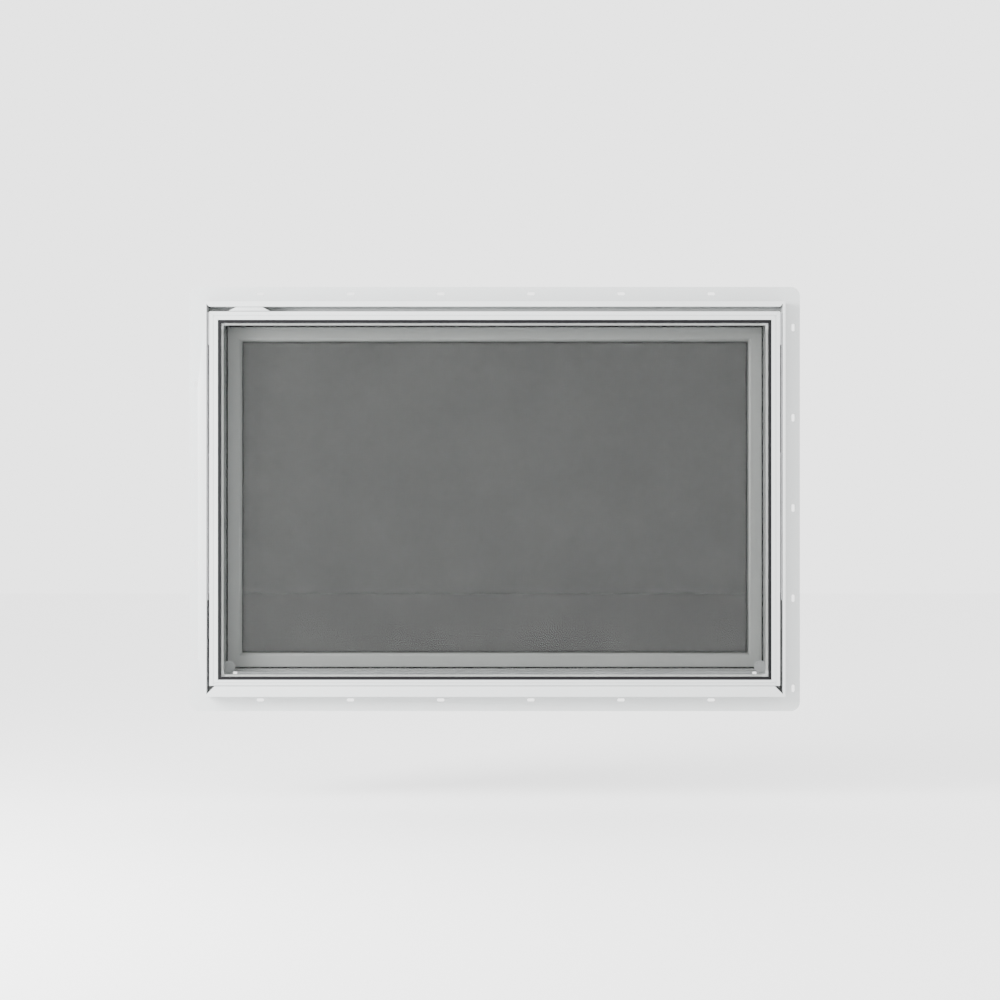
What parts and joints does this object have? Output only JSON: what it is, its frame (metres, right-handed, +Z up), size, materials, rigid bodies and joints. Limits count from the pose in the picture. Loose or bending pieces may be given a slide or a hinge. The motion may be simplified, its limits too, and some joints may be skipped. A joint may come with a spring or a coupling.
{
  "type": "awning window with crank operator",
  "caption": "White vinyl crank-out awning window with an integral nailing fin, insulating glass, stay hinges, twin-arm crank operator and an inside insect screen.",
  "frame": {"origin": "middle of the sill underside, on the hinge datum plane", "axes": "+X to the right seen from outside, +Y towards the room, +Z up"},
  "size_m": [0.984, 0.1315, 0.684],
  "materials": {
    "white_vinyl": "satin",
    "glass": "clear",
    "steel": "brushed",
    "gear_steel": "satin",
    "spacer_metal": "satin",
    "black_rubber": "matte",
    "dark_rubber": "matte",
    "cast_grey": "satin",
    "white_paint": "satin",
    "screen_grey": "satin",
    "mesh_grey": "woven",
    "knob_grey": "satin"
  },
  "bodies": {
    "frame": {"frame_head": "white_vinyl", "frame_sill": "white_vinyl", "frame_jamb_left": "white_vinyl", "frame_jamb_right": "white_vinyl", "frame_seal": "dark_rubber", "head_bumper": "white_vinyl", "hinge_track_left": "steel", "hinge_track_right": "steel", "hinge_track_screws": "steel", "stay_pins": "gear_steel", "operator_base": "cast_grey", "operator_lid": "cast_grey", "operator_pins": "gear_steel", "operator_screws": "steel", "operator_cover": "white_vinyl", "screen_bar_top": "screen_grey", "screen_bar_bottom": "screen_grey", "screen_bar_left": "screen_grey", "screen_bar_right": "screen_grey", "screen_corner_keys": "white_vinyl", "screen_mesh": "mesh_grey", "screen_spline": "black_rubber", "screen_gasket": "black_rubber", "screen_knobs": "knob_grey", "screen_rests": "white_vinyl"},
    "link_left": {"stay_link_left": "steel"},
    "link_right": {"stay_link_right": "steel"},
    "sash": {"sash_rail_top": "white_vinyl", "sash_rail_bottom": "white_vinyl", "sash_stile_left": "white_vinyl", "sash_stile_right": "white_vinyl", "pane_outer": "glass", "pane_inner": "glass", "spacer_bar": "spacer_metal", "spacer_keys": "white_vinyl", "glazing_gasket": "black_rubber", "setting_blocks": "dark_rubber", "bead_top": "white_vinyl", "bead_bottom": "white_vinyl", "bead_left": "white_vinyl", "bead_right": "white_vinyl", "sash_pins": "gear_steel", "sash_rollers": "white_vinyl", "sash_channel": "steel", "sash_channel_screws": "gear_steel"},
    "arm_left": {"arm_left": "gear_steel", "arm_stud_left": "steel"},
    "arm_right": {"arm_right": "gear_steel", "arm_stud_right": "steel"},
    "worm": {"worm_spindle": "gear_steel", "crank_hub": "white_paint", "crank_pin": "steel"},
    "handle": {"crank_lever": "white_paint"},
    "knob": {"crank_knob": "white_vinyl"}
  },
  "joints": [
    {"name": "stay_left_swing", "type": "hinge", "parent": "frame", "child": "link_left", "pos_m": [-0.4576, -0.02, 0.168], "axis": [1, 0, 0], "range_deg": [0, 18]},
    {"name": "sash_tilt", "type": "hinge", "parent": "link_left", "child": "sash", "pos_m": [-0.4576, -0.02, 0.388], "axis": [-1, 0, 0], "range_deg": [0, 36]},
    {"name": "stay_right_swing", "type": "hinge", "parent": "frame", "child": "link_right", "pos_m": [0.4576, -0.02, 0.168], "axis": [1, 0, 0], "range_deg": [0, 18]},
    {"name": "arm_left_swing", "type": "hinge", "parent": "frame", "child": "arm_left", "pos_m": [-0.018, 0.03, 0.018], "axis": [0, 0, 1], "range_deg": [0, 28.14]},
    {"name": "arm_right_swing", "type": "hinge", "parent": "frame", "child": "arm_right", "pos_m": [0.018, 0.03, 0.018], "axis": [0, 0, -1], "range_deg": [0, 28.14]},
    {"name": "worm_spin", "type": "hinge", "parent": "frame", "child": "worm", "pos_m": [0.0413, 0.053, 0.0088], "axis": [0, 1, 0], "range_deg": [0, 1013]},
    {"name": "handle_fold", "type": "hinge", "parent": "worm", "child": "handle", "pos_m": [0.0413, 0.063, 0.0088], "axis": [0, 0, -1], "range_deg": [0, 90]},
    {"name": "knob_spin", "type": "hinge", "parent": "handle", "child": "knob", "pos_m": [-0.0437, 0.078, 0.0088], "axis": [0, 1, 0], "continuous": true}
  ],
  "couplings": [
    {"joint": "sash_tilt", "follows": "stay_left_swing", "ratio": 2},
    {"joint": "stay_right_swing", "follows": "stay_left_swing", "ratio": 1},
    {"joint": "arm_left_swing", "follows": "stay_left_swing", "ratio": 1.563},
    {"joint": "arm_right_swing", "follows": "stay_left_swing", "ratio": 1.563},
    {"joint": "worm_spin", "follows": "stay_left_swing", "ratio": 56.268}
  ]
}
